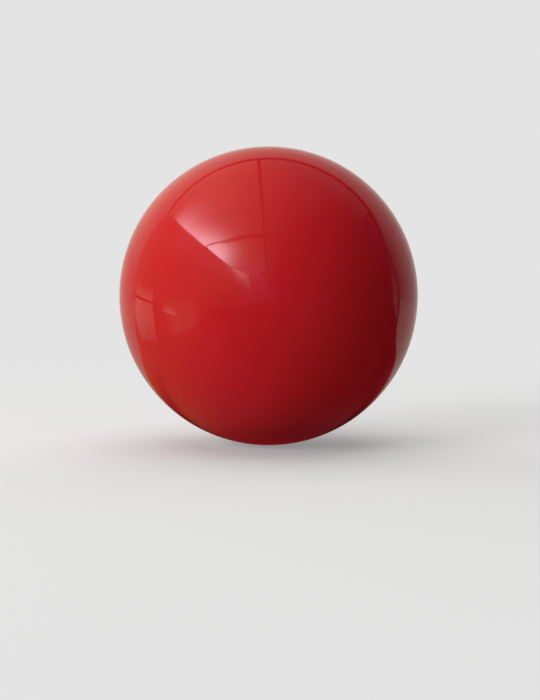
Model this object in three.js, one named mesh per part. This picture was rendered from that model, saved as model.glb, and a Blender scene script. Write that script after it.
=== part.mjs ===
// Contact juggling ball: a glossy soft skin cast over a rigid hollow core of two welded halves. A push-in
// plug closes the air valve at the back, and a small weight opposite the valve balances the ball.
// Millimetres, +Z up. The origin is the ball's centre, and +Y is the axis of the valve.
import * as THREE from "three";

// Shells
const BALL_DIAMETER = 130;
const SKIN_WALL = 3.5;
const CORE_WALL = 4;
const BOND_GAP = 0.3; // glue or weld line between two pieces that are fixed together

// Tongue and groove between the core halves
const RIM_WALL = 6.5;
const TONGUE_WIDTH = 2.2;
const TONGUE_HEIGHT = 2.5;
const TONGUE_DRAFT = 0.3; // how far each flank leans in from root to tip

// Valve plug and its hole in the skin
const PLUG_CLEARANCE = 0.3; // running gap around the plug and under its head
const PLUG_HEAD_DIAMETER = 12;
const PLUG_HEAD_ROUND = 0.5;
const PLUG_RECESS = 0.2; // depth of the plug's face below the ball's surface
const PLUG_STEM_DIAMETER = 5;
const PLUG_STEM_LENGTH = 10;
const PLUG_TIP_ROUND = 1.2;
const PLUG_RIB_COUNT = 3;
const PLUG_RIB_HEIGHT = 0.6;
const NEEDLE_MARK_DIAMETER = 2.4; // dent that guides the air needle
const NEEDLE_MARK_DEPTH = 1;
const HOLE_LIP_ROUND = 0.8;

// Valve bush and the boss that holds it
const BUSH_WALL = 2.4;
const BUSH_LEAD_IN = 0.8;
const BUSH_FLANGE_COVER = 3; // width of the flange that the skin covers
const BUSH_FLANGE_THICKNESS = 1.5;
const BUSH_BARB_HEIGHT = 0.9; // catch behind the end of the boss
const BUSH_BARB_LENGTH = 2.2;
const BOSS_WALL = 2.5;
const BOSS_LENGTH = 6;

// Balance weight and the ring that locates it
const WEIGHT_DIAMETER = 20;
const WEIGHT_RING_WALL = 1.6;
const WEIGHT_RING_HEIGHT = 2;

// Grams per cubic centimetre
const PVC_DENSITY = 1.2;
const ABS_DENSITY = 1.05;
const RUBBER_DENSITY = 1.2;

// Facets
const BALL_SEGMENTS = 48;
const VALVE_SEGMENTS = 24;
const SKIN_STEPS = 14; // along each half of the skin's outside
const BOND_STEPS = 12; // along each half of the two faces that the bond joins
const CORE_STEPS = 9; // along the inside of each core half
const ROUND_STEPS = 3;
const SAME_POINT = 1e-6;

// Radii of the shells
const ballRadius = BALL_DIAMETER / 2;
const skinInside = ballRadius - SKIN_WALL;
const coreOutside = skinInside - BOND_GAP;
const coreInside = coreOutside - CORE_WALL;
const rimInside = coreOutside - RIM_WALL;
const tongueRadius = coreOutside - RIM_WALL / 2;

// Angles on the section of the ball, from the equator towards the valve
const FRONT_POLE = -Math.PI / 2;
const EQUATOR = 0;
const REAR_POLE = Math.PI / 2;
const CENTRE = new THREE.Vector2(0, 0);

// Distance from the equator's plane to a sphere about the centre, at a radius from the axis
const heightOn = (sphere, radius) => Math.sqrt(sphere ** 2 - radius ** 2);
const angleOn = (sphere, radius) => Math.acos(radius / sphere);

// Heights of the joint between the core halves
const jointFace = BOND_GAP / 2;
const tongueTip = TONGUE_HEIGHT - jointFace;
const grooveFloor = TONGUE_HEIGHT + jointFace;
const jointAngle = Math.asin(jointFace / coreOutside);

// Radii of the valve, from the plug outwards
const headRadius = PLUG_HEAD_DIAMETER / 2;
const holeRadius = headRadius + PLUG_CLEARANCE;
const stemRadius = PLUG_STEM_DIAMETER / 2;
const boreRadius = stemRadius + PLUG_RIB_HEIGHT + PLUG_CLEARANCE;
const bushRadius = boreRadius + BUSH_WALL;
const bossBoreRadius = bushRadius + BOND_GAP;
const bossRadius = bossBoreRadius + BOSS_WALL;
const flangeRadius = holeRadius + BUSH_FLANGE_COVER;
const pocketRadius = flangeRadius + BOND_GAP;

// Heights of the valve, from the skin inwards
const flangeTop = heightOn(skinInside, flangeRadius) - BOND_GAP;
const flangeBottom = flangeTop - BUSH_FLANGE_THICKNESS;
const pocketFloor = flangeBottom - BOND_GAP;
const bossEnd = coreInside - BOSS_LENGTH;
const barbTop = bossEnd - BOND_GAP;
const bushEnd = barbTop - BUSH_BARB_LENGTH;

// Balance weight
const weightRadius = WEIGHT_DIAMETER / 2;
const weightSeat = coreInside - BOND_GAP;

const at = (radius, height) => new THREE.Vector2(radius, height);

function arc(centre, radius, start, end, steps) {
  return Array.from({ length: steps + 1 }, (_, i) => {
    const angle = THREE.MathUtils.lerp(start, end, i / steps);
    return at(centre.x + radius * Math.cos(angle), centre.y + radius * Math.sin(angle));
  });
}

// Turns a section about the valve's axis. A point that repeats the one before it is dropped.
function revolve(section, segments) {
  const points = section.flat().filter((p, i, all) => !i || p.distanceTo(all[i - 1]) > SAME_POINT);
  return new THREE.LatheGeometry(points, segments);
}

// Turns a section that goes round a hole on the axis.
function revolveRing(section, segments) {
  const points = section.flat();
  return revolve([...points, points[0]], segments);
}

function outerSkin() {
  const lipRadius = holeRadius + HOLE_LIP_ROUND;
  const lip = at(lipRadius, heightOn(ballRadius - HOLE_LIP_ROUND, lipRadius));
  const section = [
    arc(CENTRE, ballRadius, FRONT_POLE, EQUATOR, SKIN_STEPS),
    arc(CENTRE, ballRadius, EQUATOR, lip.angle(), SKIN_STEPS),
    arc(lip, HOLE_LIP_ROUND, lip.angle(), Math.PI, ROUND_STEPS),
    arc(CENTRE, skinInside, angleOn(skinInside, holeRadius), EQUATOR, BOND_STEPS),
    arc(CENTRE, skinInside, EQUATOR, FRONT_POLE, BOND_STEPS),
  ];
  return revolve(section, BALL_SEGMENTS);
}

function coreFrontHalf() {
  const tipHalf = TONGUE_WIDTH / 2 - TONGUE_DRAFT;
  const ringInside = weightRadius + BOND_GAP;
  const ringOutside = ringInside + WEIGHT_RING_WALL;
  const ringTop = WEIGHT_RING_HEIGHT - heightOn(coreInside, ringOutside);
  const ringFoot = -angleOn(coreInside, ringOutside);
  const section = [
    arc(CENTRE, coreOutside, FRONT_POLE, -jointAngle, BOND_STEPS),
    at(tongueRadius + TONGUE_WIDTH / 2, -jointFace),
    at(tongueRadius + tipHalf, tongueTip),
    at(tongueRadius - tipHalf, tongueTip),
    at(tongueRadius - TONGUE_WIDTH / 2, -jointFace),
    at(rimInside, -jointFace),
    arc(CENTRE, coreInside, -angleOn(coreInside, rimInside), ringFoot, CORE_STEPS),
    at(ringOutside, ringTop),
    at(ringInside, ringTop),
    arc(CENTRE, coreInside, -angleOn(coreInside, ringInside), FRONT_POLE, ROUND_STEPS),
  ];
  return revolve(section, BALL_SEGMENTS);
}

function coreRearHalf() {
  const mouthHalf = TONGUE_WIDTH / 2 + BOND_GAP;
  const floorHalf = mouthHalf - TONGUE_DRAFT;
  const bossFoot = angleOn(coreInside, bossRadius);
  const section = [
    at(rimInside, jointFace),
    at(tongueRadius - mouthHalf, jointFace),
    at(tongueRadius - floorHalf, grooveFloor),
    at(tongueRadius + floorHalf, grooveFloor),
    at(tongueRadius + mouthHalf, jointFace),
    arc(CENTRE, coreOutside, jointAngle, angleOn(coreOutside, pocketRadius), BOND_STEPS),
    at(pocketRadius, pocketFloor),
    at(bossBoreRadius, pocketFloor),
    at(bossBoreRadius, bossEnd),
    at(bossRadius, bossEnd),
    arc(CENTRE, coreInside, bossFoot, angleOn(coreInside, rimInside), CORE_STEPS),
  ];
  return revolveRing(section, BALL_SEGMENTS);
}

function valveBush() {
  const section = [
    at(boreRadius, bushEnd),
    at(bushRadius, bushEnd),
    at(bossBoreRadius + BUSH_BARB_HEIGHT, barbTop),
    at(bushRadius, barbTop),
    at(bushRadius, flangeBottom),
    at(flangeRadius, flangeBottom),
    at(flangeRadius, flangeTop),
    at(boreRadius + BUSH_LEAD_IN, flangeTop),
    at(boreRadius, flangeTop - BUSH_LEAD_IN),
  ];
  return revolveRing(section, VALVE_SEGMENTS);
}

function valvePlug() {
  const headUnderside = flangeTop + PLUG_CLEARANCE;
  const stemEnd = headUnderside - PLUG_STEM_LENGTH;
  const tip = at(stemRadius - PLUG_TIP_ROUND, stemEnd + PLUG_TIP_ROUND);
  const ribPitch = PLUG_STEM_LENGTH / (PLUG_RIB_COUNT + 1);
  const ribs = Array.from({ length: PLUG_RIB_COUNT }, (_, i) => {
    const rib = at(stemRadius, stemEnd + ribPitch * (i + 1));
    return arc(rib, PLUG_RIB_HEIGHT, FRONT_POLE, REAR_POLE, 2 * ROUND_STEPS);
  });
  const face = ballRadius - PLUG_RECESS;
  const edgeRadius = headRadius - PLUG_HEAD_ROUND;
  const edge = at(edgeRadius, heightOn(face - PLUG_HEAD_ROUND, edgeRadius));
  const markRadius = NEEDLE_MARK_DIAMETER / 2;
  const section = [
    at(0, stemEnd),
    arc(tip, PLUG_TIP_ROUND, FRONT_POLE, EQUATOR, ROUND_STEPS),
    ...ribs,
    at(stemRadius, headUnderside),
    at(headRadius, headUnderside),
    arc(edge, PLUG_HEAD_ROUND, EQUATOR, edge.angle(), ROUND_STEPS),
    arc(CENTRE, face, edge.angle(), angleOn(face, markRadius), ROUND_STEPS),
    at(0, heightOn(face, markRadius) - NEEDLE_MARK_DEPTH),
  ];
  return revolve(section, VALVE_SEGMENTS);
}

// First moment of a solid's volume along the valve's axis, summed over the tetrahedra that its triangles
// make with the centre.
function axialMoment(geometry) {
  const corners = geometry.toNonIndexed().getAttribute("position");
  const [a, b, c] = [0, 1, 2].map(() => new THREE.Vector3());
  const normal = new THREE.Vector3();
  let moment = 0;
  for (let i = 0; i < corners.count; i += 3) {
    [a, b, c].forEach((corner, k) => corner.fromBufferAttribute(corners, i + k));
    const volume = a.dot(normal.crossVectors(b, c)) / 6;
    moment += (volume * (a.y + b.y + c.y)) / 4;
  }
  return moment;
}

// The disc's round side lies against the core. Its flat side is where the disc's first moment, the integral
// from the flat to the round side, cancels the moment of all the other pieces.
function balanceWeight(imbalance) {
  const needed = (2 * imbalance) / (RUBBER_DENSITY * Math.PI * weightRadius ** 2);
  const flatSide = Math.sqrt(weightSeat ** 2 - weightRadius ** 2 / 2 - needed);
  const section = [
    arc(CENTRE, weightSeat, FRONT_POLE, -angleOn(weightSeat, weightRadius), ROUND_STEPS),
    at(weightRadius, -flatSide),
    at(0, -flatSide),
  ];
  return revolve(section, VALVE_SEGMENTS);
}

const red = 0xb0141b;
const ivory = 0xd9d2bf;
const black = 0x1c1c1e;
const finish = (color, roughness) => new THREE.MeshStandardMaterial({ color, roughness, metalness: 0 });

const pieces = [
  { name: "outer_skin", geometry: outerSkin(), material: finish(red, 0.07), density: PVC_DENSITY },
  { name: "core_front_half", geometry: coreFrontHalf(), material: finish(ivory, 0.5), density: ABS_DENSITY },
  { name: "core_rear_half", geometry: coreRearHalf(), material: finish(ivory, 0.5), density: ABS_DENSITY },
  { name: "valve_bush", geometry: valveBush(), material: finish(black, 0.7), density: RUBBER_DENSITY },
  { name: "valve_plug", geometry: valvePlug(), material: finish(red, 0.25), density: PVC_DENSITY },
];
const imbalance = pieces.reduce((sum, p) => sum + p.density * axialMoment(p.geometry), 0);
pieces.push({
  name: "balance_weight",
  geometry: balanceWeight(imbalance),
  material: finish(black, 0.8),
});

const ball = new THREE.Group();
for (const { name, geometry, material } of pieces) {
  const mesh = new THREE.Mesh(geometry, material);
  mesh.name = name;
  ball.add(mesh);
}

export default ball;
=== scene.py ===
"""A contact juggling ball: its skin, core and valve as fine turned meshes, and a plain studio round it.

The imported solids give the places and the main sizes. The other sizes are the properties below, in metres.
"""

import math

import bpy
from bpy.props import FloatProperty, FloatVectorProperty, IntProperty, PointerProperty
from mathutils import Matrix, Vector


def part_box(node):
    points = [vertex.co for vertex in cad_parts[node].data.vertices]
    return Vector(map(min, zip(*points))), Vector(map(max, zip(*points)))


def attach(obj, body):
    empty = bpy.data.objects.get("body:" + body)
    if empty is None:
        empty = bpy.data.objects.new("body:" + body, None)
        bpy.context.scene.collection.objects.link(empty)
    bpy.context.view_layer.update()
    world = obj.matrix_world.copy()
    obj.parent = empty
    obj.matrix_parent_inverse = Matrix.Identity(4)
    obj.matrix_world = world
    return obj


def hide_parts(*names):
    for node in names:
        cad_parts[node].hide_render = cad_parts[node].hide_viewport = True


bl_info = {
    "name": "Contact Juggling Ball",
    "version": (1, 0, 0),
    "blender": (4, 5, 0),
    "location": "View3D > Sidebar > Juggling Ball",
    "description": "Turns the skin, core and valve of a contact juggling ball and sets up its studio",
    "category": "Object",
}

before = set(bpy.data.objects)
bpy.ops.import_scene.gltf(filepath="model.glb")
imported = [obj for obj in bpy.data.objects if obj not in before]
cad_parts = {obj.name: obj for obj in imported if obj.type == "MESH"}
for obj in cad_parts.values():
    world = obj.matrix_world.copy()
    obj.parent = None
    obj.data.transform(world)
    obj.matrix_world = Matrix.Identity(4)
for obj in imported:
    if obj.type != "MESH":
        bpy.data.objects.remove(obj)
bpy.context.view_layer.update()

SKIN_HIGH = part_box("outer_skin")[1]
CORE_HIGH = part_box("core_front_half")[1]
BUSH_LOW, BUSH_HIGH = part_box("valve_bush")
PLUG_LOW, PLUG_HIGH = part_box("valve_plug")
WEIGHT_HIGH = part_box("balance_weight")[1]

# Angles on a section, from the ball's equator towards the valve
FRONT_POLE = -math.pi / 2
EQUATOR = 0.0
REAR_POLE = math.pi / 2
CENTRE = Vector((0.0, 0.0))

# Facets of the turned meshes, round the axis
BALL_SEGMENTS = 192
VALVE_SEGMENTS = 96

# Facets along the arcs of a section
SKIN_STEPS = 180
SKIN_INSIDE_STEPS = 72
LIP_STEPS = 12
CORE_STEPS = 90
CORE_INSIDE_STEPS = 60
RING_FLOOR_STEPS = 12
TIP_STEPS = 10
RIB_STEPS = 12
HEAD_STEPS = 8
WEIGHT_STEPS = 16
EDGE_STEPS = 4

# Rounding of the moulded edges, in metres
CORE_EDGE = 0.0003
VALVE_EDGE = 0.0002
WEIGHT_EDGE = 0.0004
# The most of a side that a round takes
EDGE_SHARE = 0.25
# How far from the corner the point lies that keeps a side flat, in units of the round
EDGE_HOLD = 1.6

MERGE_DISTANCE = 1e-7
CORNER_ANGLE = math.radians(25)
SHARP_ANGLE = math.radians(40)

# Types of the sockets of a node group
FLOAT = "NodeSocketFloat"
COLOUR = "NodeSocketColor"
GEOMETRY = "NodeSocketGeometry"

# Refraction of the finishes
PVC_IOR = 1.5
RUBBER_IOR = 1.52
ABS_IOR = 1.54
# Hairlines: the scale of the noise drawn out, the width of a line in it, and the scale of their patches
HAIRLINE_SCALE = (16.0, 16.0, 1500.0)
HAIRLINE_WIDTH = 0.02
PATCH_SCALE = 45.0
NOISE_MIDDLE = 0.5

# The photograph's frame, and where the ball stands in it, in pixels
FRAME_WIDTH = 540
FRAME_HEIGHT = 700
BALL_COLUMN = 268.6
BALL_ROW = 296.2
BALL_RADIUS_PIXELS = 149.3

WHITE = (1.0, 1.0, 1.0)
FORWARD = (0.0, -1.0, 0.0)
UPWARD = (0.0, 0.0, 1.0)
LAMP_DISTANCE = 1.6
FLOOR_REACH = 6.0
# Distances from the ball's centre between which the floor passes into the background
FLOOR_FADE = (0.12, 0.55)

# The reflection set: glowing cards, no lamps, that paint the ball's reflections, in units of the height of
# its panels over the ball
SET_LEFT = -1.24
SET_RIGHT = 1.26
SET_FRONT = -6.0
SET_TOP = 1.015
FRONT_LEFT = (-1.5, SET_FRONT)
FRONT_RIGHT = (SET_RIGHT, SET_FRONT)
# Heights of the panels, of the bright gore (a painted highlight) under them and of the dark backing (painted
# shade) over them
PANELS_UP = 1.0
GORE_UP = 0.995
BACKING_UP = 1.01
# Where the cards that paint highlights stand left of the ball, and the step from one card to the next
HIGHLIGHT_CARD_X = -0.13
CARD_GAP = 0.001
# Height of a card over the floor or card that it lies on
CARD_LIFT = 0.0003
# Feet of the cards behind the ball and at its left
BACK_LINE = [(SET_LEFT, 0.81), (-0.5, 0.82), (0.0, 0.865), (0.5, 0.885), (1.03, 0.945), (SET_RIGHT, 1.0)]
LEFT_LINE = [BACK_LINE[0], (SET_LEFT, -1.3), (-1.22, -2.13), (-1.35, -3.0), (-1.45, -5.0), FRONT_LEFT]
# Where the painted pale and the painted dark reflection of the floor meet, left and right of the ball
LEFT_SEAM = [(SET_LEFT, 0.66), (-0.13, 0.06)]
RIGHT_SEAM = [(0.11, 0.06), (0.154, 0.052), (0.222, 0.067), (0.3, 0.11), (0.57, 0.258), (SET_RIGHT, 0.62)]
# The two edges of the curved joint between the back and the middle row of panels
JOINT_BACK = [(-0.078, -0.88), (-0.55, -0.87), (-0.73, -0.875), (-0.87, -0.86)]
JOINT_FRONT = [(-0.87, -0.895), (-0.84, -0.94), (-0.73, -0.965), (-0.59, -0.98), (-0.078, -0.99)]
# Edges that two panels or cards share
SECOND_JOINT = [(-0.38, -2.94), (-0.9, -2.66)]
RIGHT_EDGE = [(0.555, 0.44), (0.58, 0.57), (0.685, 0.7), (0.835, 0.85), (0.98, SET_TOP)]
# Brightest place of the painted pool of light on the back card, and how far its light spreads
BACK_SPOT = (0.0, 0.8, 0.0)
BACK_SPREAD = 0.32
# Strength of the painted hot spot along the left edge of the overhead panels
HOT_SPOT = 9.2


def length(name, description, default):
    return FloatProperty(
        name=name, description=description, default=default, min=0.0, precision=5, unit="LENGTH"
    )


def colour(name, description, default):
    return FloatVectorProperty(
        name=name, description=description, default=default, min=0.0, max=1.0, subtype="COLOR"
    )


def share(name, description, default):
    return FloatProperty(
        name=name, description=description, default=default, min=0.0, max=1.0, subtype="FACTOR"
    )


class SkinSettings(bpy.types.PropertyGroup):
    radius: length("Radius", "Outside radius of the ball", SKIN_HIGH.x)
    wall: length("Wall", "Thickness of the soft skin", 0.0035)
    hole_radius: length("Hole radius", "Radius of the hole for the valve plug", 0.0063)
    lip_round: length("Lip round", "Rounding of the hole's outer edge", 0.0008)
    colour: colour("Colour", "Red of the glossy skin", (0.5, 0.0115, 0.0165))
    roughness: share("Roughness", "Roughness of the clean skin", 0.055)


class CoreSettings(bpy.types.PropertyGroup):
    outside: length("Outside", "Outside radius of the core", CORE_HIGH.x)
    wall: length("Wall", "Thickness of the core", 0.004)
    rim_wall: length("Rim wall", "Thickness of the rims that are welded together", 0.0065)
    bond_gap: length("Bond gap", "Glue or weld line between fixed pieces", 0.0003)
    tongue_width: length("Tongue width", "Width of the tongue at its root", 0.0022)
    tongue_height: length("Tongue height", "Height of the tongue", 0.0025)
    tongue_draft: length("Tongue draft", "Lean of each flank of the tongue", 0.0003)
    boss_wall: length("Boss wall", "Wall of the boss around the valve", 0.0025)
    boss_length: length("Boss length", "Length of the boss inside the core", 0.006)
    ring_wall: length("Ring wall", "Wall of the ring that locates the weight", 0.0016)
    ring_height: length("Ring height", "Height of the ring that locates the weight", 0.002)
    colour: colour("Colour", "Ivory of the moulded core", (0.7, 0.65, 0.52))
    roughness: share("Roughness", "Roughness of the moulded core", 0.42)
    weight_colour: colour("Weight colour", "Black of the rubber balance weight", (0.02, 0.02, 0.022))


class ValveSettings(bpy.types.PropertyGroup):
    bore_radius: length("Bore radius", "Radius of the bore of the bush", 0.0034)
    bush_wall: length("Bush wall", "Wall of the bush", 0.0024)
    lead_in: length("Lead-in", "Chamfer at the mouth of the bush", 0.0008)
    flange_thickness: length("Flange thickness", "Thickness of the flange under the skin", 0.0015)
    barb_height: length("Barb height", "Catch behind the end of the boss", 0.0009)
    barb_length: length("Barb length", "Length of the tapered end of the bush", 0.0022)
    clearance: length("Clearance", "Gap under the head of the plug", 0.0003)
    recess: length("Recess", "Depth of the plug's face below the ball's surface", 0.0002)
    head_round: length("Head round", "Rounding of the plug's face", 0.0005)
    stem_radius: length("Stem radius", "Radius of the plug's stem", 0.0025)
    tip_round: length("Tip round", "Rounding of the tip of the stem", 0.0012)
    rib_height: length("Rib height", "Height of the ribs on the stem", 0.0006)
    rib_count: IntProperty(name="Ribs", description="Number of ribs on the stem", default=3, min=1)
    mark_radius: length("Mark radius", "Radius of the dent that guides the air needle", 0.0012)
    mark_depth: length("Mark depth", "Depth of the dent that guides the air needle", 0.001)
    plug_colour: colour("Plug colour", "Red of the soft plug", (0.44, 0.010, 0.013))
    bush_colour: colour("Bush colour", "Black of the rubber bush", (0.013, 0.013, 0.014))


class StageSettings(bpy.types.PropertyGroup):
    lens: FloatProperty(
        name="Lens", description="Focal length of the camera", default=85.0, unit="CAMERA"
    )
    elevation: FloatProperty(
        name="Elevation",
        description="Height of the camera as an angle above the ball's centre",
        default=math.radians(2.0),
        subtype="ANGLE",
    )
    background: share("Background", "Level of the pale background", 0.775)
    floor_colour: colour("Floor colour", "Colour of the pale floor", (0.46, 0.46, 0.455))
    floor_lift: share("Floor lift", "Light that the floor adds for the eye alone", 0.26)
    ambient: share("Ambient", "Level of the soft light from all round", 0.01)
    key_level: share("Key level", "Level of the large lamp at the left", 0.735)
    top_level: share("Top level", "Level of the lamp overhead", 0.61)
    rim_level: share("Rim level", "Level of the two lamps behind, which light the rims", 0.39)
    panel_height: length("Panel height", "Height over the ball of the panels that its gloss shows", 1.1)


class BallSettings(bpy.types.PropertyGroup):
    skin: PointerProperty(type=SkinSettings)
    core: PointerProperty(type=CoreSettings)
    valve: PointerProperty(type=ValveSettings)
    stage: PointerProperty(type=StageSettings)


# Sections of the turned pieces, as points (radius, height along the valve's axis)


def at(radius, height):
    return Vector((radius, height))


def arc(centre, radius, start, end, steps):
    angles = [start + (end - start) * i / steps for i in range(steps + 1)]
    return [centre + radius * at(math.cos(a), math.sin(a)) for a in angles]


def height_on(sphere, radius):
    return math.sqrt(sphere**2 - radius**2)


def angle_on(sphere, radius):
    return math.acos(radius / sphere)


def eased(section, size):
    """The section with its corners rounded, and a point beside each round to keep the flat faces flat."""
    soft = [section[0]]
    for before, corner, after in zip(section, section[1:], section[2:]):
        back = before - corner
        on = after - corner
        if back.length < MERGE_DISTANCE or on.length < MERGE_DISTANCE:
            continue
        if (-back).angle(on) < CORNER_ANGLE:
            soft.append(corner)
            continue
        reach = min(size, EDGE_SHARE * back.length, EDGE_SHARE * on.length)
        start = corner + back.normalized() * reach
        end = corner + on.normalized() * reach
        soft.append(corner.lerp(start, EDGE_HOLD))
        for i in range(EDGE_STEPS + 1):
            t = i / EDGE_STEPS
            soft.append(start.lerp(corner, t).lerp(corner.lerp(end, t), t))
        soft.append(corner.lerp(end, EDGE_HOLD))
    soft.append(section[-1])
    return soft


def skin_section(skin):
    inside = skin.radius - skin.wall
    lip_radius = skin.hole_radius + skin.lip_round
    lip = at(lip_radius, height_on(skin.radius - skin.lip_round, lip_radius))
    lip_angle = angle_on(lip.length, lip_radius)
    return (
        arc(CENTRE, skin.radius, FRONT_POLE, lip_angle, SKIN_STEPS)
        + arc(lip, skin.lip_round, lip_angle, math.pi, LIP_STEPS)[1:]
        + arc(CENTRE, inside, angle_on(inside, skin.hole_radius), FRONT_POLE, SKIN_INSIDE_STEPS)
    )


def core_front_section(core):
    inside = core.outside - core.wall
    joint = core.bond_gap / 2
    tongue = core.outside - core.rim_wall / 2
    root = core.tongue_width / 2
    tip = root - core.tongue_draft
    tip_height = core.tongue_height - joint
    rim = core.outside - core.rim_wall
    ring_inside = WEIGHT_HIGH.x + core.bond_gap
    ring_outside = ring_inside + core.ring_wall
    ring_top = core.ring_height - height_on(inside, ring_outside)
    section = (
        arc(CENTRE, core.outside, FRONT_POLE, -math.asin(joint / core.outside), CORE_STEPS)
        + [
            at(tongue + root, -joint),
            at(tongue + tip, tip_height),
            at(tongue - tip, tip_height),
            at(tongue - root, -joint),
            at(rim, -joint),
        ]
        + arc(CENTRE, inside, -angle_on(inside, rim), -angle_on(inside, ring_outside), CORE_INSIDE_STEPS)
        + [at(ring_outside, ring_top), at(ring_inside, ring_top)]
        + arc(CENTRE, inside, -angle_on(inside, ring_inside), FRONT_POLE, RING_FLOOR_STEPS)
    )
    return eased(section, CORE_EDGE)


def core_rear_section(core, valve):
    inside = core.outside - core.wall
    joint = core.bond_gap / 2
    tongue = core.outside - core.rim_wall / 2
    mouth = core.tongue_width / 2 + core.bond_gap
    floor = mouth - core.tongue_draft
    groove = core.tongue_height + joint
    rim = core.outside - core.rim_wall
    pocket = BUSH_HIGH.x + core.bond_gap
    pocket_floor = BUSH_HIGH.y - valve.flange_thickness - core.bond_gap
    bore = valve.bore_radius + valve.bush_wall + core.bond_gap
    boss = bore + core.boss_wall
    boss_end = inside - core.boss_length
    start = at((rim + tongue - mouth) / 2, joint)
    rim_angle = math.asin(joint / core.outside)
    section = (
        [
            start,
            at(tongue - mouth, joint),
            at(tongue - floor, groove),
            at(tongue + floor, groove),
            at(tongue + mouth, joint),
        ]
        + arc(CENTRE, core.outside, rim_angle, angle_on(core.outside, pocket), CORE_STEPS)
        + [
            at(pocket, pocket_floor),
            at(bore, pocket_floor),
            at(bore, boss_end),
            at(boss, boss_end),
        ]
        + arc(CENTRE, inside, angle_on(inside, boss), angle_on(inside, rim), CORE_INSIDE_STEPS)
        + [at(rim, joint), start]
    )
    return eased(section, CORE_EDGE)


def bush_section(core, valve):
    outside = valve.bore_radius + valve.bush_wall
    flange_bottom = BUSH_HIGH.y - valve.flange_thickness
    barb_top = BUSH_LOW.y + valve.barb_length
    start = at(valve.bore_radius, (BUSH_LOW.y + BUSH_HIGH.y) / 2)
    section = [
        start,
        at(valve.bore_radius, BUSH_LOW.y),
        at(outside, BUSH_LOW.y),
        at(outside + core.bond_gap + valve.barb_height, barb_top),
        at(outside, barb_top),
        at(outside, flange_bottom),
        at(BUSH_HIGH.x, flange_bottom),
        BUSH_HIGH.xy,
        at(valve.bore_radius + valve.lead_in, BUSH_HIGH.y),
        at(valve.bore_radius, BUSH_HIGH.y - valve.lead_in),
        start,
    ]
    return eased(section, VALVE_EDGE)


def plug_section(skin, valve):
    head = PLUG_HIGH.x
    underside = BUSH_HIGH.y + valve.clearance
    tip = at(valve.stem_radius - valve.tip_round, PLUG_LOW.y + valve.tip_round)
    pitch = (underside - PLUG_LOW.y) / (valve.rib_count + 1)
    stem = [at(0.0, PLUG_LOW.y)] + arc(tip, valve.tip_round, FRONT_POLE, EQUATOR, TIP_STEPS)
    for i in range(valve.rib_count):
        rib = at(valve.stem_radius, PLUG_LOW.y + pitch * (i + 1))
        stem += arc(rib, valve.rib_height, FRONT_POLE, REAR_POLE, RIB_STEPS)
    face = skin.radius - valve.recess
    edge_radius = head - valve.head_round
    edge = at(edge_radius, height_on(face - valve.head_round, edge_radius))
    edge_angle = angle_on(edge.length, edge_radius)
    section = (
        stem
        + [at(valve.stem_radius, underside), at(head, underside)]
        + arc(edge, valve.head_round, EQUATOR, edge_angle, HEAD_STEPS)
        + arc(CENTRE, face, edge_angle, angle_on(face, valve.mark_radius), HEAD_STEPS)[1:]
        + [at(0.0, height_on(face, valve.mark_radius) - valve.mark_depth)]
    )
    return eased(section, VALVE_EDGE)


def weight_section(core):
    seat = core.outside - core.wall - core.bond_gap
    section = arc(CENTRE, seat, FRONT_POLE, -angle_on(seat, WEIGHT_HIGH.x), WEIGHT_STEPS) + [
        WEIGHT_HIGH.xy,
        at(0.0, WEIGHT_HIGH.y),
    ]
    return eased(section, WEIGHT_EDGE)


# Nodes


def put(tree, kind, inputs=(), **settings):
    """A new node. An input given as a socket is linked, and any other value is set."""
    node = tree.nodes.new(kind)
    for name, value in settings.items():
        setattr(node, name, value)
    for name, value in dict(inputs).items():
        if isinstance(value, bpy.types.NodeSocket):
            tree.links.new(value, node.inputs[name])
        else:
            node.inputs[name].default_value = value
    return node


def calculate(tree, operation, *values):
    return put(tree, "ShaderNodeMath", enumerate(values), operation=operation).outputs[0]


def product(tree, first, *others):
    for other in others:
        first = calculate(tree, "MULTIPLY", first, other)
    return first


def measure(tree, operation, *vectors):
    """A vector operation whose result is one number."""
    return put(tree, "ShaderNodeVectorMath", enumerate(vectors), operation=operation).outputs["Value"]


def split(tree, vector):
    """The X, Y and Z of a vector."""
    return put(tree, "ShaderNodeSeparateXYZ", {"Vector": vector}).outputs


def object_place(tree):
    return put(tree, "ShaderNodeTexCoord").outputs["Object"]


def ramp(tree, value, start, end, interpolation="SMOOTHSTEP", low=0.0, high=1.0):
    """Low up to the start, high from the end, and a passage between them."""
    inputs = {"Value": value, "From Min": start, "From Max": end, "To Min": low, "To Max": high}
    return put(tree, "ShaderNodeMapRange", inputs, interpolation_type=interpolation).outputs["Result"]


def noise(tree, place, scale, detail, roughness=0.5):
    inputs = {"Vector": place, "Scale": scale, "Detail": detail, "Roughness": roughness}
    return put(tree, "ShaderNodeTexNoise", inputs).outputs["Fac"]


def rgba(tint):
    return tint if isinstance(tint, bpy.types.NodeSocket) else (*tint, 1.0)


def show(tree, shader):
    put(tree, "ShaderNodeOutputMaterial", {"Surface": shader})


def shared(name, build):
    """The node group of that name, built at its first use."""
    if name not in bpy.data.node_groups:
        build(name)
    return bpy.data.node_groups[name]


def new_group(name, kind, inputs, outputs):
    tree = bpy.data.node_groups.new(name, kind)
    for socket, socket_type in inputs.items():
        tree.interface.new_socket(socket, in_out="INPUT", socket_type=socket_type)
    for socket, socket_type in outputs.items():
        tree.interface.new_socket(socket, in_out="OUTPUT", socket_type=socket_type)
    return tree, tree.nodes.new("NodeGroupInput").outputs


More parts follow.
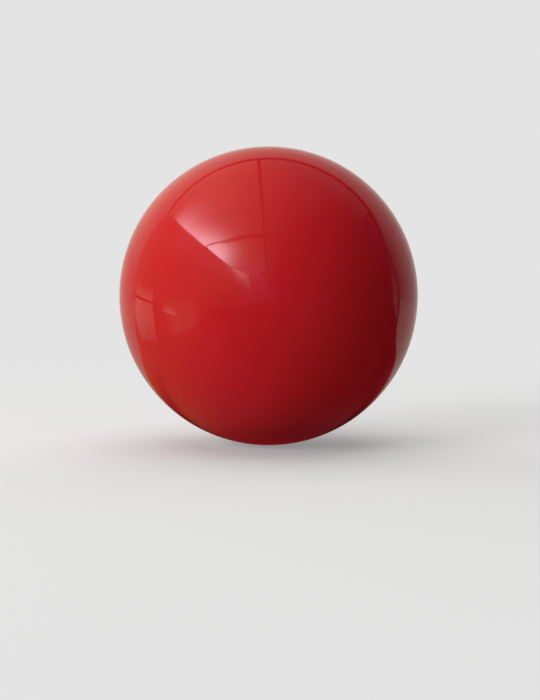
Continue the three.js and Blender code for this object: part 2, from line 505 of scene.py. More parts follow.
def turning_group(name):
    """Turns a section about the valve's axis: a grid whose rows take the section's points."""
    tree, given = new_group(
        name,
        "GeometryNodeTree",
        {
            "Section": GEOMETRY,
            "Segments": "NodeSocketInt",
            "Merge Distance": FLOAT,
            "Material": "NodeSocketMaterial",
        },
        {"Piece": GEOMETRY},
    )
    points = put(
        tree, "GeometryNodeAttributeDomainSize", {"Geometry": given["Section"]}, component="MESH"
    ).outputs["Point Count"]
    grid = put(
        tree,
        "GeometryNodeMeshGrid",
        {
            "Size X": 1.0,
            "Size Y": 1.0,
            "Vertices X": calculate(tree, "ADD", given["Segments"], 1.0),
            "Vertices Y": points,
        },
    )
    position = put(tree, "GeometryNodeInputPosition").outputs["Position"]
    place = split(tree, position)
    angle = calculate(tree, "MULTIPLY_ADD", place["X"], math.tau, math.pi)
    last = calculate(tree, "SUBTRACT", points, 1.0)
    row = product(tree, calculate(tree, "ADD", place["Y"], 0.5), last)
    index = put(tree, "FunctionNodeFloatToInt", {"Float": row}, rounding_mode="ROUND").outputs["Integer"]
    sample = put(
        tree,
        "GeometryNodeSampleIndex",
        {"Geometry": given["Section"], "Index": index},
        data_type="FLOAT_VECTOR",
        domain="POINT",
    )
    tree.links.new(position, sample.inputs["Value"])
    point = split(tree, sample.outputs["Value"])
    turned = put(
        tree,
        "ShaderNodeCombineXYZ",
        {
            "X": product(tree, point["X"], calculate(tree, "SINE", angle)),
            "Y": point["Y"],
            "Z": product(tree, point["X"], calculate(tree, "COSINE", angle)),
        },
    ).outputs["Vector"]
    moved = put(
        tree, "GeometryNodeSetPosition", {"Geometry": grid.outputs["Mesh"], "Position": turned}
    ).outputs["Geometry"]
    closed = put(
        tree, "GeometryNodeMergeByDistance", {"Geometry": moved, "Distance": given["Merge Distance"]}
    ).outputs["Geometry"]
    smooth = put(tree, "GeometryNodeSetShadeSmooth", {"Geometry": closed}).outputs["Geometry"]
    real = put(tree, "GeometryNodeRealizeInstances", {"Geometry": smooth}).outputs["Geometry"]
    painted = put(
        tree, "GeometryNodeSetMaterial", {"Geometry": real, "Material": given["Material"]}
    ).outputs["Geometry"]
    put(tree, "NodeGroupOutput", {"Piece": painted})


def turn(name, section, segments, material):
    """A section turned to a closed plain mesh by the node tree."""
    outline = bpy.data.meshes.new(name)
    outline.from_pydata([(p.x, p.y, 0.0) for p in section], [], [])
    piece = bpy.data.objects.new(name, outline)
    bpy.context.scene.collection.objects.link(piece)
    tree = shared("Turned piece", turning_group)
    modifier = piece.modifiers.new(tree.name, "NODES")
    modifier.node_group = tree
    values = {"Segments": segments, "Merge Distance": MERGE_DISTANCE, "Material": material}
    for socket in tree.interface.items_tree:
        if socket.name in values:
            modifier[socket.identifier] = values[socket.name]
    depsgraph = bpy.context.evaluated_depsgraph_get()
    mesh = bpy.data.meshes.new_from_object(piece.evaluated_get(depsgraph))
    piece.modifiers.remove(modifier)
    piece.data = mesh
    bpy.data.meshes.remove(outline)
    mesh.name = name
    if not mesh.polygons:
        raise RuntimeError(f"{name} came out empty")
    mesh.set_sharp_from_angle(angle=SHARP_ANGLE)
    return piece


def dress(piece, node, body):
    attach(piece, body)
    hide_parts(node)


# Finishes


def pigment_group(name):
    """Colour with soft clouds of lighter and darker pigment."""
    inputs = {"Color": COLOUR, "Scale": FLOAT, "Amount": FLOAT}
    tree, given = new_group(name, "ShaderNodeTree", inputs, {"Color": COLOUR})
    clouds = noise(tree, object_place(tree), given["Scale"], detail=4.0, roughness=0.6)
    swing = calculate(tree, "SUBTRACT", clouds, NOISE_MIDDLE)
    level = calculate(tree, "MULTIPLY_ADD", swing, given["Amount"], 1.0)
    mixed = put(
        tree, "ShaderNodeVectorMath", {0: given["Color"], "Scale": level}, operation="SCALE"
    ).outputs["Vector"]
    put(tree, "NodeGroupOutput", {"Color": mixed})


def handling_group(name):
    """Roughness with dull smudges from handling and patches of fine hairlines."""
    inputs = {"Roughness": FLOAT, "Smudge Scale": FLOAT, "Smudges": FLOAT, "Hairlines": FLOAT}
    tree, given = new_group(name, "ShaderNodeTree", inputs, {"Roughness": FLOAT})
    place = object_place(tree)
    cloud = noise(tree, place, given["Smudge Scale"], detail=5.0, roughness=0.62)
    smudge = ramp(tree, cloud, 0.5, 0.74)
    total = calculate(tree, "MULTIPLY_ADD", smudge, given["Smudges"], given["Roughness"])
    # two sets of hairlines, each with its own lie and its own patches
    for lie, patch_offset in (((0.5, 0.9, 0.2), 0.3), ((-0.8, 0.4, 1.1), 0.7)):
        drawn_out = {"Vector": place, "Rotation": lie, "Scale": HAIRLINE_SCALE}
        along = put(tree, "ShaderNodeMapping", drawn_out).outputs["Vector"]
        swing = calculate(tree, "SUBTRACT", noise(tree, along, scale=1.0, detail=1.0), NOISE_MIDDLE)
        offset = calculate(tree, "ABSOLUTE", swing)
        line = ramp(tree, offset, 0.0, HAIRLINE_WIDTH, "LINEAR", low=1.0, high=0.0)
        aside = {"Vector": place, "Location": (patch_offset, 0.0, 0.0)}
        moved = put(tree, "ShaderNodeMapping", aside).outputs["Vector"]
        shown = ramp(tree, noise(tree, moved, PATCH_SCALE, detail=2.0), 0.58, 0.68)
        total = calculate(tree, "MULTIPLY_ADD", product(tree, line, shown), given["Hairlines"], total)
    put(tree, "NodeGroupOutput", {"Roughness": total})


def relief_group(name):
    """Height of a moulded surface in metres: broad waves, which bend the reflected lines, and fine grain."""
    inputs = {"Wave Scale": FLOAT, "Wave Height": FLOAT, "Grain Scale": FLOAT, "Grain Height": FLOAT}
    tree, given = new_group(name, "ShaderNodeTree", inputs, {"Height": FLOAT})
    place = object_place(tree)
    waves = product(tree, noise(tree, place, given["Wave Scale"], detail=1.0), given["Wave Height"])
    grain = noise(tree, place, given["Grain Scale"], detail=2.0)
    height = calculate(tree, "MULTIPLY_ADD", grain, given["Grain Height"], waves)
    put(tree, "NodeGroupOutput", {"Height": height})


def finish_material(name, tint, roughness, ior, clouds, marks, relief):
    """A moulded finish from the three shared groups, each with its own values here."""
    material = bpy.data.materials.new(name)
    material.use_nodes = True
    tree = material.node_tree
    tree.nodes.clear()
    pigment = put(tree, "ShaderNodeGroup", node_tree=shared("Pigment clouds", pigment_group))
    handling = put(tree, "ShaderNodeGroup", node_tree=shared("Handling marks", handling_group))
    moulded = put(tree, "ShaderNodeGroup", node_tree=shared("Moulded relief", relief_group))
    for group, values in (
        (pigment, {"Color": rgba(tint), **clouds}),
        (handling, {"Roughness": roughness, **marks}),
        (moulded, relief),
    ):
        for socket, value in values.items():
            group.inputs[socket].default_value = value
    bump = put(
        tree, "ShaderNodeBump", {"Height": moulded.outputs["Height"], "Distance": 1.0, "Strength": 1.0}
    )
    surface = put(
        tree,
        "ShaderNodeBsdfPrincipled",
        {
            "Base Color": pigment.outputs["Color"],
            "Roughness": handling.outputs["Roughness"],
            "Normal": bump.outputs["Normal"],
            "IOR": ior,
        },
    )
    show(tree, surface.outputs["BSDF"])
    return material


def skin_finish(skin):
    return finish_material(
        "Glossy red skin",
        tint=skin.colour,
        roughness=skin.roughness,
        ior=PVC_IOR,
        clouds={"Scale": 34.0, "Amount": 0.1},
        marks={"Smudge Scale": 26.0, "Smudges": 0.05, "Hairlines": 0.05},
        relief={"Wave Scale": 110.0, "Wave Height": 1.2e-5, "Grain Scale": 900.0, "Grain Height": 4e-7},
    )


def plug_finish(valve):
    return finish_material(
        "Soft red plug",
        tint=valve.plug_colour,
        roughness=0.27,
        ior=PVC_IOR,
        clouds={"Scale": 320.0, "Amount": 0.2},
        marks={"Smudge Scale": 240.0, "Smudges": 0.14, "Hairlines": 0.1},
        relief={"Wave Scale": 300.0, "Wave Height": 1e-5, "Grain Scale": 3800.0, "Grain Height": 1.2e-5},
    )


def bush_finish(valve):
    return finish_material(
        "Black rubber bush",
        tint=valve.bush_colour,
        roughness=0.62,
        ior=RUBBER_IOR,
        clouds={"Scale": 420.0, "Amount": 0.9},
        marks={"Smudge Scale": 260.0, "Smudges": 0.2, "Hairlines": 0.1},
        relief={"Wave Scale": 350.0, "Wave Height": 2e-5, "Grain Scale": 4200.0, "Grain Height": 2e-5},
    )


def core_finish(core):
    return finish_material(
        "Ivory moulded core",
        tint=core.colour,
        roughness=core.roughness,
        ior=ABS_IOR,
        clouds={"Scale": 60.0, "Amount": 0.16},
        marks={"Smudge Scale": 45.0, "Smudges": 0.16, "Hairlines": 0.12},
        relief={"Wave Scale": 70.0, "Wave Height": 4e-5, "Grain Scale": 2200.0, "Grain Height": 1.2e-5},
    )


def weight_finish(core):
    return finish_material(
        "Black rubber weight",
        tint=core.weight_colour,
        roughness=0.7,
        ior=RUBBER_IOR,
        clouds={"Scale": 260.0, "Amount": 1.0},
        marks={"Smudge Scale": 150.0, "Smudges": 0.2, "Hairlines": 0.15},
        relief={"Wave Scale": 240.0, "Wave Height": 3e-5, "Grain Scale": 3200.0, "Grain Height": 3e-5},
    )


# Shaders of the stage


def mix(tree, factor, first, second):
    """The first tint where the factor is 0, and the second where it is 1."""
    inputs = {"Factor": factor, "A": rgba(first), "B": rgba(second)}
    return put(tree, "ShaderNodeMix", inputs, data_type="RGBA").outputs["Result"]


def glow(tree, tint, strength=1.0):
    return put(tree, "ShaderNodeEmission", {"Color": rgba(tint), "Strength": strength}).outputs["Emission"]


def added(tree, first, second):
    return put(tree, "ShaderNodeAddShader", {0: first, 1: second}).outputs["Shader"]


def fall_off(tree, value):
    """1 where the value is 0, and less and less as it grows."""
    return calculate(tree, "EXPONENT", product(tree, value, -1.0))


def seen_rays(tree):
    """1 for the rays that show the stage: those of the camera, of gloss and of glass."""
    path = put(tree, "ShaderNodeLightPath").outputs
    gloss = calculate(tree, "MAXIMUM", path["Is Glossy Ray"], path["Is Transmission Ray"])
    return calculate(tree, "MAXIMUM", path["Is Camera Ray"], gloss)


def stage_material(name):
    """A new material that is no lamp, and its empty tree."""
    material = bpy.data.materials.new(name)
    material.use_nodes = True
    material.cycles.emission_sampling = "NONE"
    tree = material.node_tree
    tree.nodes.clear()
    return material, tree


def floor_material(stage):
    """A pale floor that shows the shadow near the ball and looks like the background further out."""
    material, tree = stage_material("Pale floor")
    seen = seen_rays(tree)
    reach = measure(tree, "LENGTH", object_place(tree))
    far = product(tree, ramp(tree, reach, *FLOOR_FADE), seen)
    matte = put(tree, "ShaderNodeBsdfDiffuse", {"Color": rgba(stage.floor_colour)}).outputs["BSDF"]
    near = added(tree, matte, glow(tree, WHITE, product(tree, seen, stage.floor_lift)))
    distance = glow(tree, WHITE, product(tree, seen, stage.background))
    show(tree, put(tree, "ShaderNodeMixShader", {0: far, 1: near, 2: distance}).outputs["Shader"])
    return material


def pale_world(stage):
    """The pale background, which lights the ball only with the soft light from all round."""
    world = bpy.data.worlds.new("Pale studio")
    world.use_nodes = True
    tree = world.node_tree
    tree.nodes.clear()
    level = calculate(
        tree, "MULTIPLY_ADD", seen_rays(tree), stage.background - stage.ambient, stage.ambient
    )
    sky = put(tree, "ShaderNodeBackground", {"Color": rgba(WHITE), "Strength": level})
    put(tree, "ShaderNodeOutputWorld", {"Surface": sky.outputs["Background"]})
    bpy.context.scene.world = world


def card_material(name, tint, along=None, start=0.0, end=1.0, other=None):
    """A glowing card that is no lamp, for a painted reflection: even, or passing to another tint along a
    direction.
    """
    material, tree = stage_material(name)
    if along:
        part = measure(tree, "DOT_PRODUCT", object_place(tree), along)
        tint = mix(tree, ramp(tree, part, start, end), tint, other)
    show(tree, glow(tree, tint))
    return material


def back_material():
    """A card with a painted pool of light: brightest straight behind the ball and at the upper left, and
    cooler to the right.
    """
    material, tree = stage_material("Back card")
    place = object_place(tree)
    x, _, z = split(tree, place)
    reach = measure(tree, "DISTANCE", place, BACK_SPOT)
    fall = fall_off(tree, calculate(tree, "DIVIDE", reach, BACK_SPREAD))
    level = calculate(tree, "MULTIPLY_ADD", fall, 0.62, 0.3)
    high_left = product(tree, ramp(tree, x, 0.0, -0.4), ramp(tree, z, 0.1, 0.4))
    boost = calculate(tree, "MULTIPLY_ADD", high_left, 0.4, 1.0)
    tint = mix(tree, ramp(tree, x, -0.6, 0.9, "LINEAR"), (1.25, 1.08, 0.88), (0.9, 0.83, 0.84))
    show(tree, glow(tree, tint, product(tree, level, boost)))
    return material


def left_material():
    """A card that is pale behind the ball, warm beside it and dim in front, with painted shade low in front
    and a painted cool light at its top.
    """
    material, tree = stage_material("Left card")
    _, y, z = split(tree, object_place(tree))
    tint = mix(tree, ramp(tree, y, 0.8, 0.1), (0.36, 0.28, 0.2), (0.5, 0.23, 0.085))
    tint = mix(tree, ramp(tree, y, -2.2, -4.2), tint, (0.26, 0.2, 0.23))
    # painted shade: the card is darker low down in front of the ball
    low_front = product(tree, ramp(tree, z, 0.35, -0.05), ramp(tree, y, -0.7, -1.7))
    kept = calculate(tree, "MULTIPLY_ADD", low_front, -0.45, 1.0)
    # painted light: a cool glow at the top, beside and in front of the ball
    top_beside = product(tree, ramp(tree, z, 0.38, 0.9), ramp(tree, y, 0.3, -0.2, high=0.2))
    top_front = product(tree, ramp(tree, z, 0.65, 1.05), ramp(tree, y, -1.1, -2.8, high=0.4))
    cool = glow(tree, (1.1, 1.0, 1.35), calculate(tree, "ADD", top_beside, top_front))
    show(tree, added(tree, glow(tree, tint, kept), cool))
    return material


def floor_reflection_material():
    """A card of painted floor reflection: painted shade round the ball, a painted red reflection at its
    foot, warm at the left and violet far in front.
    """
    material, tree = stage_material("Low flag")
    place = object_place(tree)
    x, y, _ = split(tree, place)
    leftward = calculate(tree, "SUBTRACT", y, x)
    reach = measure(tree, "LENGTH", place)
    clear = calculate(tree, "MAXIMUM", ramp(tree, reach, 0.062, 0.13), ramp(tree, y, 0.02, -0.015))
    near = product(tree, ramp(tree, leftward, -0.09, 0.0), clear)
    # far out at the left, the painted floor reflection is as light as the foot of the left card
    far = product(tree, ramp(tree, reach, 0.2, 1.0), ramp(tree, x, 0.05, -0.55))
    side_on = calculate(tree, "MAXIMUM", ramp(tree, leftward, -0.04, 0.06), far)
    tint = mix(tree, side_on, (0.35, 0.06, 0.085), (0.52, 0.16, 0.06))
    # painted red reflection at the foot: the ball's own bounce light on the floor in its contact shade
    tint = mix(tree, ramp(tree, reach, 0.0595, 0.072), (0.3, 0.012, 0.016), tint)
    # in front it passes into the violet of the front shade card
    ahead = ramp(tree, y, -0.3, -2.2)
    kept = product(tree, calculate(tree, "MAXIMUM", near, far), calculate(tree, "SUBTRACT", 1.0, ahead))
    violet = glow(tree, (0.19, 0.115, 0.2), product(tree, ahead, ramp(tree, x, 0.4, -0.6, low=0.2)))
    show(tree, added(tree, glow(tree, tint, kept), violet))
    return material


def front_material():
    """A violet card with painted shade: it darkens to the right and towards the floor."""
    material, tree = stage_material("Front flag")
    x, _, z = split(tree, object_place(tree))
    tint = mix(tree, ramp(tree, x, -0.9, 1.1), (0.27, 0.19, 0.33), (0.04, 0.0, 0.1))
    show(tree, glow(tree, tint, ramp(tree, z, -0.1, 0.8, low=0.6)))
    return material


def glow_material():
    """A clear card with a soft-edged glow, a painted highlight, which adds to what lies behind it."""
    material, tree = stage_material("Soft glow")
    _, y, z = split(tree, object_place(tree))
    across = product(tree, ramp(tree, y, -0.135, -0.1), ramp(tree, y, -0.046, -0.066))
    down = product(tree, ramp(tree, z, 0.004, -0.012), ramp(tree, z, -0.0585, -0.042))
    clear = put(tree, "ShaderNodeBsdfTransparent").outputs["BSDF"]
    show(tree, added(tree, clear, glow(tree, (1.1, 1.0, 0.55), product(tree, across, down, 0.27))))
    return material


def overhead_material(name, level):
    """Panels with a painted warm wash of light that fades to the right, and a painted cool hot spot along
    the left edge.
    """
    material, tree = stage_material(name)
    x, y, _ = split(tree, object_place(tree))
    # the painted wash of light falls off to the right, and more steeply over the ball than behind it
    past = calculate(tree, "MAXIMUM", calculate(tree, "ADD", x, 0.4), 0.0)
    reach = ramp(tree, y, 0.7, -0.6, low=0.65, high=0.45)
    steepness = ramp(tree, y, 0.7, -0.6, low=1.0, high=1.6)
    dim = calculate(tree, "POWER", calculate(tree, "DIVIDE", past, reach), steepness)
    fade = ramp(tree, y, -2.8, -4.0, low=0.58, high=0.36)
    corner = product(tree, ramp(tree, x, 0.2, 0.6, high=0.06), ramp(tree, y, 0.15, 0.55))
    wash = calculate(tree, "MULTIPLY_ADD", fall_off(tree, dim), fade, corner)
    tint = mix(tree, ramp(tree, x, -0.3, 0.6), (1.0, 0.85, 0.55), (1.0, 0.87, 0.92))
    tint = mix(tree, ramp(tree, y, -1.5, -2.7), tint, (0.92, 0.78, 1.02))
    # the painted hot spot is widest about the joint between the back and the middle row of panels
    wide = product(tree, ramp(tree, y, -0.1, -0.85), ramp(tree, y, -1.9, -1.1))
    width = calculate(tree, "MULTIPLY_ADD", wide, 0.16, 0.3)
    power = calculate(tree, "MULTIPLY_ADD", wide, 0.9, 1.3)
    inward = calculate(tree, "MAXIMUM", calculate(tree, "SUBTRACT", x, SET_LEFT), 0.0)
    spread = calculate(tree, "POWER", calculate(tree, "DIVIDE", inward, width), power)
    back = calculate(
        tree,
        "ADD",
        ramp(tree, y, 0.55, -0.15, high=0.56),
        ramp(tree, y, -0.15, -1.0, "LINEAR", high=0.44),
    )
    front = product(tree, ramp(tree, y, -2.4, -1.15, low=0.17), ramp(tree, y, -4.0, -2.8))
    spot = product(tree, fall_off(tree, spread), product(tree, back, front))
    warm = glow(tree, tint, product(tree, wash, level))
    cool = glow(tree, (1.0, 0.88, 0.98), product(tree, spot, HOT_SPOT * level))
    show(tree, added(tree, warm, cool))
    return material


# Stage


def stage_mesh(name, panels, material):
    """Flat panels, each given by its corners."""
    corners = []
    faces = []
    for panel in panels:
        faces.append(range(len(corners), len(corners) + len(panel)))
        corners += panel
    mesh = bpy.data.meshes.new(name)
    mesh.from_pydata(corners, [], faces)
    mesh.materials.append(material)
    piece = bpy.data.objects.new(name, mesh)
    bpy.context.scene.collection.objects.link(piece)
    return piece


def flat(height, *corners):
    return [(*corner, height) for corner in corners]


def side(x, *corners):
    return [(x, *corner) for corner in corners]


def upright(first, second, low):
    return [(*first, low), (*second, low), (*second, SET_TOP), (*first, SET_TOP)]


def walls(line, low):
    """Upright panels that stand on a line of corners."""
    return [upright(first, second, low) for first, second in zip(line, line[1:])]


def overhead_cards():
    """Three rows of glowing panels split by a narrow gap, with a bright gore below and a dark backing above;
    the gore is a painted highlight and the backing painted shade.
    """
    outlines = [
        # back row
        [(-1.25, 0.725), (-0.6, 0.737), (-0.088, 0.735), *JOINT_BACK, (-1.03, -0.825), (-1.235, -0.81)],
        [(-0.062, 0.735), (0.6, 0.735), (1.03, 0.765), (1.2, 0.755), (1.222, 0.62), (1.222, -1.0),
         (-0.052, -0.92)],
        # middle row
        [(-1.225, -0.845), (-1.05, -0.86), (-0.89, -0.89), (-0.9, -2.66), (-0.96, -2.545), (-1.09, -2.245),
         (-1.205, -2.05)],
        [*JOINT_FRONT, (-0.02, -2.88), *SECOND_JOINT, (-0.89, -0.89)],
        [(-0.052, -0.96), (SET_RIGHT, -1.04), (SET_RIGHT, -3.9), (0.02, -3.06)],
        # front row
        [(-1.2, -2.14), (-0.95, -2.63), *reversed(SECOND_JOINT), (-0.3, -3.15), (0.0, -3.24),
         (0.03, SET_FRONT), FRONT_LEFT],
        [(0.02, -3.2), (SET_RIGHT, -4.05), FRONT_RIGHT, (0.05, SET_FRONT)],
    ]
    panels = [flat(PANELS_UP, *outline) for outline in outlines]
    strip = flat(PANELS_UP, *JOINT_BACK, *JOINT_FRONT)
    gore = flat(GORE_UP, (-1.22, -2.09), (-1.09, -2.3), (-0.95, -2.62), (-0.945, -3.15), (-1.04, -4.18),
                (-1.25, -5.1), (-1.43, -5.1), (-1.345, -3.2), (-1.27, -2.6))
    # the gore is a painted highlight, brightest at the back and fading forward
    gore_material = card_material(
        "Bright gore", (2.9, 2.2, 2.08), along=FORWARD, start=2.0, end=4.8, other=(0.88, 0.74, 0.74)
    )
    backing = flat(BACKING_UP, *BACK_LINE, FRONT_RIGHT, FRONT_LEFT)
    return [
        stage_mesh("overhead_panels", panels, overhead_material("Overhead panels", level=1.0)),
        stage_mesh("joint_strip", [strip], overhead_material("Joint strip", level=0.34)),
        stage_mesh("bright_gore", [gore], gore_material),
        stage_mesh("panel_backing", [backing], card_material("Panel backing", (0.03, 0.018, 0.015))),
    ]


def painted_highlight_cards():
    """Close to the ball at the left, glowing cards that are no lamps and paint highlights: a pair in a dark
    frame, a small one and a soft glow.
    """
    upper = side(HIGHLIGHT_CARD_X, (0.016, 0.0015), (-0.028, -0.0055), (-0.029, 0.007), (0.015, 0.015))
    lower = side(HIGHLIGHT_CARD_X, (0.027, -0.045), (-0.021, -0.053), (-0.028, -0.022), (-0.027, -0.008),
                 (0.018, -0.001), (0.023, -0.019))
    small = side(HIGHLIGHT_CARD_X, (-0.051, -0.004), (-0.047, -0.016), (-0.055, -0.019), (-0.08, -0.0265),
                 (-0.068, -0.015))
    border = side(HIGHLIGHT_CARD_X - CARD_GAP, (0.0295, -0.046), (-0.0235, -0.0535), (-0.0305, -0.022),
                  (-0.029, -0.0045), (0.0195, 0.0025))
    haze = side(HIGHLIGHT_CARD_X + CARD_GAP, (-0.046, 0.004), (-0.046, -0.0585), (-0.135, -0.0585), (-0.135, 0.004))
    upper_material = card_material(
        "Upper softbox", (0.85, 0.7, 0.44), along=UPWARD, start=-0.004, end=0.015, other=(0.38, 0.32, 0.14)
    )
    lower_material = card_material(
        "Lower softbox", (0.3, 0.22, 0.1), along=UPWARD, start=-0.06, end=-0.016, other=(0.78, 0.68, 0.5)
    )
    small_material = card_material(
        "Small softbox",
        (1.15, 0.85, 0.66),
        along=(0.0, -0.24, 0.97),
        start=-0.0045,
        end=0.0065,
        other=(0.4, 0.3, 0.08),
    )
    return [
        stage_mesh("upper_softbox", [upper], upper_material),
        stage_mesh("lower_softbox", [lower], lower_material),
        stage_mesh("small_softbox", [small], small_material),
        stage_mesh("softbox_frame", [border], card_material("Softbox frame", (0.06, 0.03, 0.02))),
        stage_mesh("soft_glow", [haze], glow_material()),
    ]


def right_cards(low, on_floor):
    """A dark card of painted shade with a darker border, and a narrow pale card that runs out over the
    floor.
    """
    flag = side(SET_RIGHT, (0.63, low), (0.615, 0.1), (0.585, 0.27), *RIGHT_EDGE, (SET_FRONT, SET_TOP),
                (SET_FRONT, low))
    border = side(SET_RIGHT - 2 * CARD_GAP, (0.5, 0.44), (0.506, 0.57), (0.58, 0.708), (0.69, 0.859),
                  (0.78, 0.99), (0.3, 0.99), (0.3, SET_TOP), *reversed(RIGHT_EDGE))
    pale = side(SET_RIGHT - 5 * CARD_GAP, (0.385, low), (0.37, 0.1), (0.39, 0.26), (0.42, 0.4), (0.47, 0.52),
                (0.49, 0.44), (0.48, 0.32), (0.505, 0.2), (0.54, 0.1), (0.55, low))
    runout = flat(on_floor + CARD_LIFT, (SET_RIGHT, 0.385), (1.115, 0.336), (0.39, 0.116), (0.285, 0.09),
                  (0.31, 0.1), (0.586, 0.226), (SET_RIGHT, 0.55))
    flag_material = card_material(
        "Right flag",
        (0.003, 0.002, 0.003),
        along=(0.0, 0.8, 0.6),
        start=0.3,
        end=0.8,
        other=(0.035, 0.012, 0.075),
    )
    pale_material = card_material(
        "Right card", (0.17, 0.155, 0.17), along=UPWARD, start=-0.06, end=0.4, other=(0.06, 0.04, 0.085)
    )
    return [
        stage_mesh("right_flag", [flag], flag_material),
        stage_mesh("right_line", [border], card_material("Right line", (0.002, 0.001, 0.003))),
        stage_mesh("right_card", [pale, runout], pale_material),
    ]


def reflection_set(stage, floor_height):
    """Glowing panels, cards and sheets, no lamps, that paint the reflections in the ball's gloss; only the
    gloss shows them. Their unit is the panels' height.
    """
    low = floor_height / stage.panel_height
    on_floor = low + CARD_LIFT
    # painted reflections of the floor, over it in the gloss: pale behind the ball, and painted shade round
    # the rest
    pale_floor = flat(on_floor, *LEFT_SEAM, *RIGHT_SEAM, *reversed(BACK_LINE))
    painted_shade_floor = flat(on_floor, FRONT_LEFT, FRONT_RIGHT, *reversed(RIGHT_SEAM), *reversed(LEFT_SEAM),
                      *LEFT_LINE[1:-1])
    # the right fade paints a reflection that darkens towards the front
    fade_x = SET_RIGHT + 5 * CARD_GAP
    fade_material = card_material(
        "Right fade", (0.235, 0.22, 0.225), along=FORWARD, start=-0.95, end=-0.62, other=(0.14, 0.13, 0.155)
    )
    pieces = [
        *overhead_cards(),
        stage_mesh("left_card", walls(LEFT_LINE, low), left_material()),
        *painted_highlight_cards(),
        *right_cards(low, on_floor),
        stage_mesh("front_flag", [upright(FRONT_LEFT, FRONT_RIGHT, low)], front_material()),
        stage_mesh("back_card", [*walls(BACK_LINE, low), pale_floor], back_material()),
        stage_mesh("right_fade", [upright((fade_x, 1.03), (fade_x, 0.4), low)], fade_material),
        stage_mesh("low_flag", [painted_shade_floor], floor_reflection_material()),
    ]
    for piece in pieces:
        piece.scale = (stage.panel_height,) * 3
        piece.visible_camera = False
        piece.visible_diffuse = False
        piece.visible_shadow = False
        piece.visible_transmission = False


def lamp(name, direction, size, level):
    """A soft disc lamp aimed at the ball. At level 1, a white face turned to it renders white."""
    data = bpy.data.lights.new(name, "AREA")
    data.shape = "DISK"
    data.size = size
    data.energy = level * math.pi**2 * (LAMP_DISTANCE**2 + (size / 2) ** 2)
    light = bpy.data.objects.new(name, data)
    bpy.context.scene.collection.objects.link(light)
    towards = Vector(direction).normalized()
    light.location = towards * LAMP_DISTANCE
    light.rotation_euler = (-towards).to_track_quat("-Z", "Y").to_euler()
    light.visible_camera = False
    light.visible_glossy = False


def add_camera(stage, radius):
    """A camera that puts the ball where the photograph has it."""
    data = bpy.data.cameras.new("Camera")
    data.lens = stage.lens
    data.clip_start = 0.01
    pixel = data.sensor_width / FRAME_HEIGHT
    distance = radius / math.sin(math.atan(BALL_RADIUS_PIXELS * pixel / stage.lens))
    camera = bpy.data.objects.new("Camera", data)
    bpy.context.scene.collection.objects.link(camera)
    towards = Vector((0.0, math.cos(stage.elevation), -math.sin(stage.elevation)))
    right = (BALL_COLUMN - FRAME_WIDTH / 2) * pixel
    up = (FRAME_HEIGHT / 2 - BALL_ROW) * pixel
    swing = Vector((right, up, -stage.lens)).rotation_difference(Vector((0.0, 0.0, -1.0)))
    camera.location = -towards * distance
    camera.rotation_mode = "QUATERNION"
    camera.rotation_quaternion = towards.to_track_quat("-Z", "Y") @ swing
    bpy.context.scene.camera = camera


class BALL_OT_skin(bpy.types.Operator):
    """Turn the glossy red skin, with the hole for the valve plug"""

    bl_idname = "juggling_ball.skin"
    bl_label = "Skin"

    def execute(self, context):
        skin = context.scene.juggling_ball.skin
        piece = turn("skin_shell", skin_section(skin), BALL_SEGMENTS, skin_finish(skin))
        dress(piece, "outer_skin", "ball")
        return {"FINISHED"}


class BALL_OT_core(bpy.types.Operator):
    """Turn the two halves of the rigid core and the balance weight"""

    bl_idname = "juggling_ball.core"
    bl_label = "Core and weight"

    def execute(self, context):
        settings = context.scene.juggling_ball
        core = settings.core
        ivory = core_finish(core)
        front = turn("core_front_shell", core_front_section(core), BALL_SEGMENTS, ivory)
        dress(front, "core_front_half", "ball")
        rear = turn("core_rear_shell", core_rear_section(core, settings.valve), BALL_SEGMENTS, ivory)
        dress(rear, "core_rear_half", "ball")
        weight = turn("weight_disc", weight_section(core), VALVE_SEGMENTS, weight_finish(core))
        dress(weight, "balance_weight", "ball")
        return {"FINISHED"}


class BALL_OT_valve(bpy.types.Operator):
    """Turn the rubber bush and the ribbed plug of the air valve"""

    bl_idname = "juggling_ball.valve"
    bl_label = "Valve"

    def execute(self, context):
        settings = context.scene.juggling_ball
        valve = settings.valve
        bush = turn("bush_sleeve", bush_section(settings.core, valve), VALVE_SEGMENTS, bush_finish(valve))
        dress(bush, "valve_bush", "ball")
        plug = turn("plug_stopper", plug_section(settings.skin, valve), VALVE_SEGMENTS, plug_finish(valve))
        dress(plug, "valve_plug", "plug")
        return {"FINISHED"}


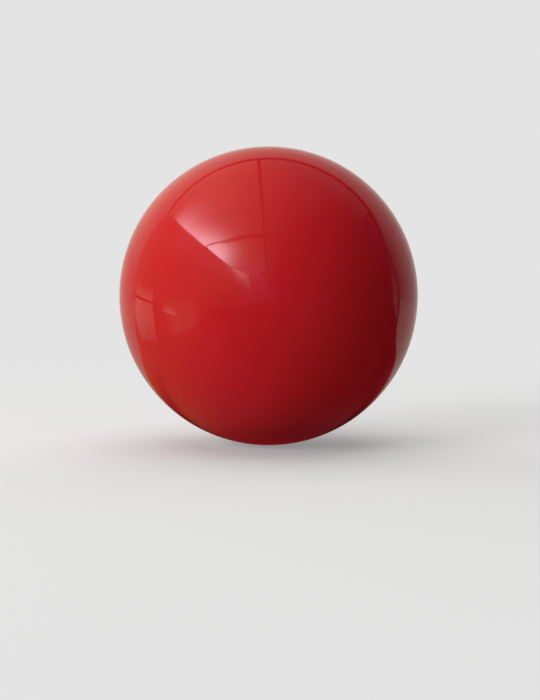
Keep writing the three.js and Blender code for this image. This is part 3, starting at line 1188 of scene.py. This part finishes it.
class BALL_OT_stage(bpy.types.Operator):
    """Set up the floor, the light, the reflection set and the camera"""

    bl_idname = "juggling_ball.stage"
    bl_label = "Stage"

    def execute(self, context):
        settings = context.scene.juggling_ball
        stage = settings.stage
        radius = settings.skin.radius
        corners = [(x * FLOOR_REACH, y * FLOOR_REACH) for x, y in ((-1, -1), (1, -1), (1, 1), (-1, 1))]
        stage_mesh("floor", [flat(-radius, *corners)], floor_material(stage))
        pale_world(stage)
        reflection_set(stage, -radius)
        lamp("key_lamp", direction=(-0.7, -0.66, 0.28), size=0.9, level=stage.key_level)
        lamp("top_lamp", direction=(-0.1, 0.0, 1.0), size=2.4, level=stage.top_level)
        lamp("left_rim_lamp", direction=(-0.7, 0.65, 0.3), size=1.6, level=stage.rim_level)
        lamp("right_rim_lamp", direction=(0.3, 0.85, 0.45), size=2.2, level=stage.rim_level)
        add_camera(stage, radius)
        context.scene.view_settings.view_transform = "Standard"
        return {"FINISHED"}


class BALL_PT_panel(bpy.types.Panel):
    """Sizes, colours and the steps that build the ball"""

    bl_idname = "BALL_PT_panel"
    bl_label = "Juggling Ball"
    bl_space_type = "VIEW_3D"
    bl_region_type = "UI"
    bl_category = "Juggling Ball"

    def draw(self, context):
        settings = context.scene.juggling_ball
        for group, step in (
            (settings.skin, BALL_OT_skin),
            (settings.core, BALL_OT_core),
            (settings.valve, BALL_OT_valve),
            (settings.stage, BALL_OT_stage),
        ):
            box = self.layout.box()
            for name in group.__annotations__:
                box.prop(group, name)
            box.operator(step.bl_idname)


CLASSES = (
    SkinSettings,
    CoreSettings,
    ValveSettings,
    StageSettings,
    BallSettings,
    BALL_OT_skin,
    BALL_OT_core,
    BALL_OT_valve,
    BALL_OT_stage,
    BALL_PT_panel,
)


def register():
    for cls in CLASSES:
        bpy.utils.register_class(cls)
    bpy.types.Scene.juggling_ball = PointerProperty(type=BallSettings)


def unregister():
    del bpy.types.Scene.juggling_ball
    for cls in reversed(CLASSES):
        bpy.utils.unregister_class(cls)


def main():
    register()
    bpy.ops.juggling_ball.skin()
    bpy.ops.juggling_ball.core()
    bpy.ops.juggling_ball.valve()
    bpy.ops.juggling_ball.stage()


if __name__ == "__main__":
    main()
